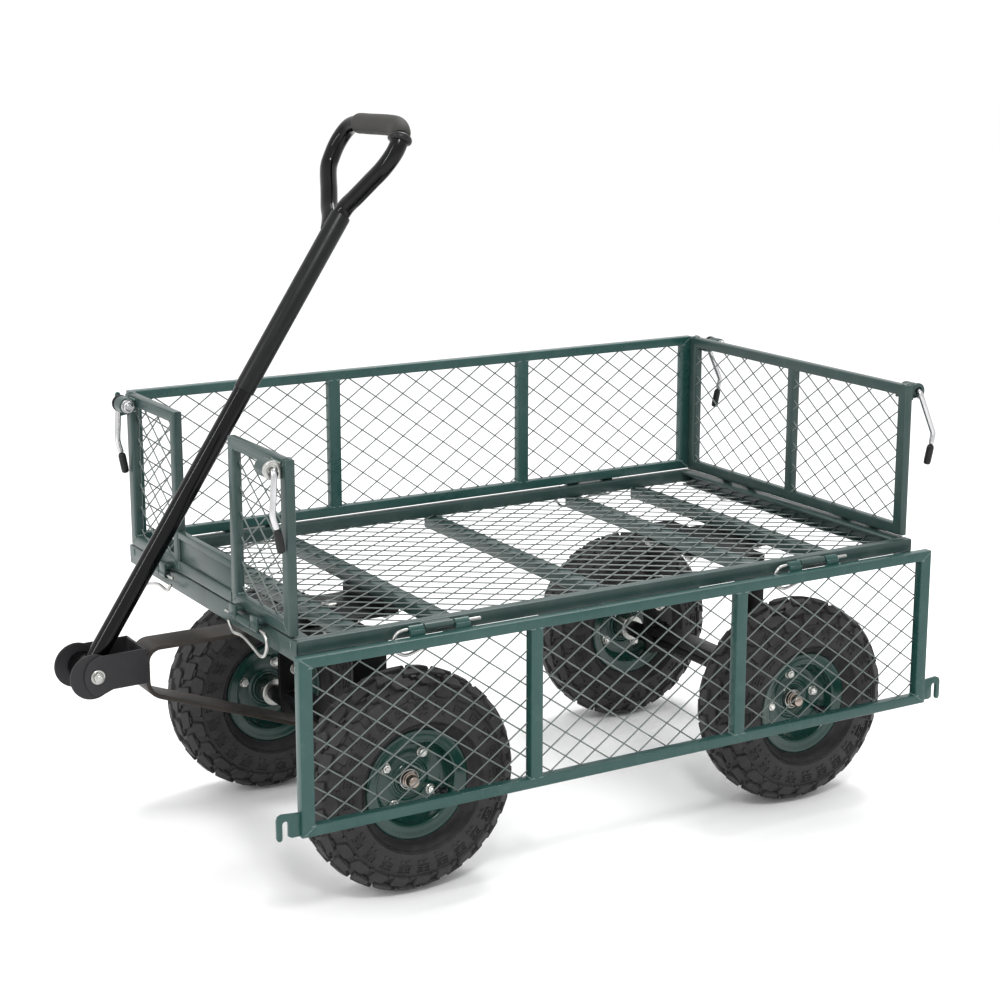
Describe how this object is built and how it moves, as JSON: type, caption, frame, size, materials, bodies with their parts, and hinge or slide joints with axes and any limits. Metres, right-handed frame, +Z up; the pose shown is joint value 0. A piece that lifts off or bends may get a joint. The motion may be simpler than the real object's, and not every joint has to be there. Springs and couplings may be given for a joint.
{
  "type": "steel mesh garden cart",
  "caption": "Flat-deck steel mesh garden wagon with pneumatic tyres, fold-down mesh sides and gates, lever latches, a steered front axle and a folding pull handle.",
  "frame": {"origin": "on the ground, under the middle of the cart's overall length and width in the rest pose", "axes": "+X forward towards the drawbar, +Y to the cart's left (the side whose panel hangs down at rest), +Z up"},
  "size_m": [1.0778, 0.5213, 0.8619],
  "materials": {
    "green_paint": "satin hunter green powder coat",
    "green_mesh": "satin grey-green powder coat on wire mesh",
    "green_rim": "gloss deep green enamel",
    "tyre_rubber": "matte moulded rubber",
    "zinc": "zinc plated steel",
    "chrome": "bright plated rod and catch",
    "vinyl": "dipped black vinyl",
    "black_paint": "semi-gloss black paint",
    "dark_strap": "satin dark grey-brown paint",
    "charcoal_paint": "satin charcoal casting",
    "gloss_black": "gloss black powder coat",
    "grip_rubber": "matte grey rubber"
  },
  "bodies": {
    "bed": {"bed_frame": "green_paint", "deck_mesh": "green_mesh", "front_turntable": "black_paint", "rear_bracket": "black_paint", "rear_axle": "zinc", "kingpin": "zinc", "axle_nut_rear_left": "zinc", "axle_nut_rear_right": "zinc", "hinge_pin_left_front": "zinc", "hinge_pin_left_rear": "zinc", "hinge_pin_right_front": "zinc", "hinge_pin_right_rear": "zinc", "hinge_pin_front_left": "zinc", "hinge_pin_front_right": "zinc", "hinge_pin_rear_left": "zinc", "hinge_pin_rear_right": "zinc"},
    "side_left": {"side_frame_left": "green_paint", "side_mesh_left_front": "green_mesh", "side_mesh_left_middle": "green_mesh", "side_mesh_left_rear": "green_mesh"},
    "side_right": {"side_frame_right": "green_paint", "side_mesh_right_front": "green_mesh", "side_mesh_right_middle": "green_mesh", "side_mesh_right_rear": "green_mesh"},
    "gate_front": {"gate_frame_front": "green_paint", "gate_mesh_front_left": "green_mesh", "gate_mesh_front_right": "green_mesh"},
    "gate_rear": {"gate_frame_rear": "green_paint", "gate_mesh_rear_left": "green_mesh", "gate_mesh_rear_right": "green_mesh"},
    "latch_front_left": {"latch_lever_front_left": "chrome", "latch_grip_front_left": "vinyl"},
    "latch_front_right": {"latch_lever_front_right": "chrome", "latch_grip_front_right": "vinyl"},
    "latch_rear_left": {"latch_lever_rear_left": "chrome", "latch_grip_rear_left": "vinyl"},
    "latch_rear_right": {"latch_lever_rear_right": "chrome", "latch_grip_rear_right": "vinyl"},
    "steering": {"front_yoke": "black_paint", "front_axle": "zinc", "drawbar_strap": "dark_strap", "coupling": "charcoal_paint", "pivot_bolt": "zinc", "axle_nut_front_left": "zinc", "axle_nut_front_right": "zinc"},
    "handle": {"handle_tube": "gloss_black", "handle_loop": "gloss_black", "hand_grip": "grip_rubber"},
    "wheel_front_left": {"tyre_front_left": "tyre_rubber", "rim_front_left": "green_rim", "hub_front_left": "zinc"},
    "wheel_front_right": {"tyre_front_right": "tyre_rubber", "rim_front_right": "green_rim", "hub_front_right": "zinc"},
    "wheel_rear_left": {"tyre_rear_left": "tyre_rubber", "rim_rear_left": "green_rim", "hub_rear_left": "zinc"},
    "wheel_rear_right": {"tyre_rear_right": "tyre_rubber", "rim_rear_right": "green_rim", "hub_rear_right": "zinc"}
  },
  "joints": [
    {"name": "side_left_raise", "type": "hinge", "parent": "bed", "child": "side_left", "pos_m": [-0.0661, 0.2415, 0.3245], "axis": [1, 0, 0], "range_deg": [0, 180]},
    {"name": "side_right_fold", "type": "hinge", "parent": "bed", "child": "side_right", "pos_m": [-0.0661, -0.2565, 0.3245], "axis": [1, 0, 0], "range_deg": [0, 180]},
    {"name": "gate_front_fold", "type": "hinge", "parent": "bed", "child": "gate_front", "pos_m": [0.3704, -0.0075, 0.3245], "axis": [0, 1, 0], "range_deg": [0, 100]},
    {"name": "gate_rear_fold", "type": "hinge", "parent": "bed", "child": "gate_rear", "pos_m": [-0.5026, -0.0075, 0.3245], "axis": [0, -1, 0], "range_deg": [0, 180]},
    {"name": "latch_front_left_turn", "type": "hinge", "parent": "gate_front", "child": "latch_front_left", "pos_m": [0.3739, 0.2165, 0.512], "axis": [0, 1, 0], "range_deg": [-150, 0]},
    {"name": "latch_front_right_turn", "type": "hinge", "parent": "gate_front", "child": "latch_front_right", "pos_m": [0.3739, -0.2315, 0.512], "axis": [0, 1, 0], "range_deg": [-150, 0]},
    {"name": "latch_rear_left_turn", "type": "hinge", "parent": "gate_rear", "child": "latch_rear_left", "pos_m": [-0.5116, 0.2165, 0.512], "axis": [0, -1, 0], "range_deg": [-135, 0]},
    {"name": "latch_rear_right_turn", "type": "hinge", "parent": "gate_rear", "child": "latch_rear_right", "pos_m": [-0.5116, -0.2315, 0.512], "axis": [0, -1, 0], "range_deg": [-135, 0]},
    {"name": "steer", "type": "hinge", "parent": "bed", "child": "steering", "pos_m": [0.2039, -0.0075, 0.2715], "axis": [0, 0, 1], "range_deg": [-20, 20]},
    {"name": "handle_tilt", "type": "hinge", "parent": "steering", "child": "handle", "pos_m": [0.5059, -0.0075, 0.255], "axis": [0, 1, 0], "range_deg": [0, 135]},
    {"name": "wheel_front_left_spin", "type": "hinge", "parent": "steering", "child": "wheel_front_left", "pos_m": [0.2039, 0.1825, 0.13], "axis": [0, 1, 0], "continuous": true},
    {"name": "wheel_front_right_spin", "type": "hinge", "parent": "steering", "child": "wheel_front_right", "pos_m": [0.2039, -0.1975, 0.13], "axis": [0, 1, 0], "continuous": true},
    {"name": "wheel_rear_left_spin", "type": "hinge", "parent": "bed", "child": "wheel_rear_left", "pos_m": [-0.3461, 0.1825, 0.13], "axis": [0, 1, 0], "continuous": true},
    {"name": "wheel_rear_right_spin", "type": "hinge", "parent": "bed", "child": "wheel_rear_right", "pos_m": [-0.3461, -0.1975, 0.13], "axis": [0, 1, 0], "continuous": true}
  ]
}
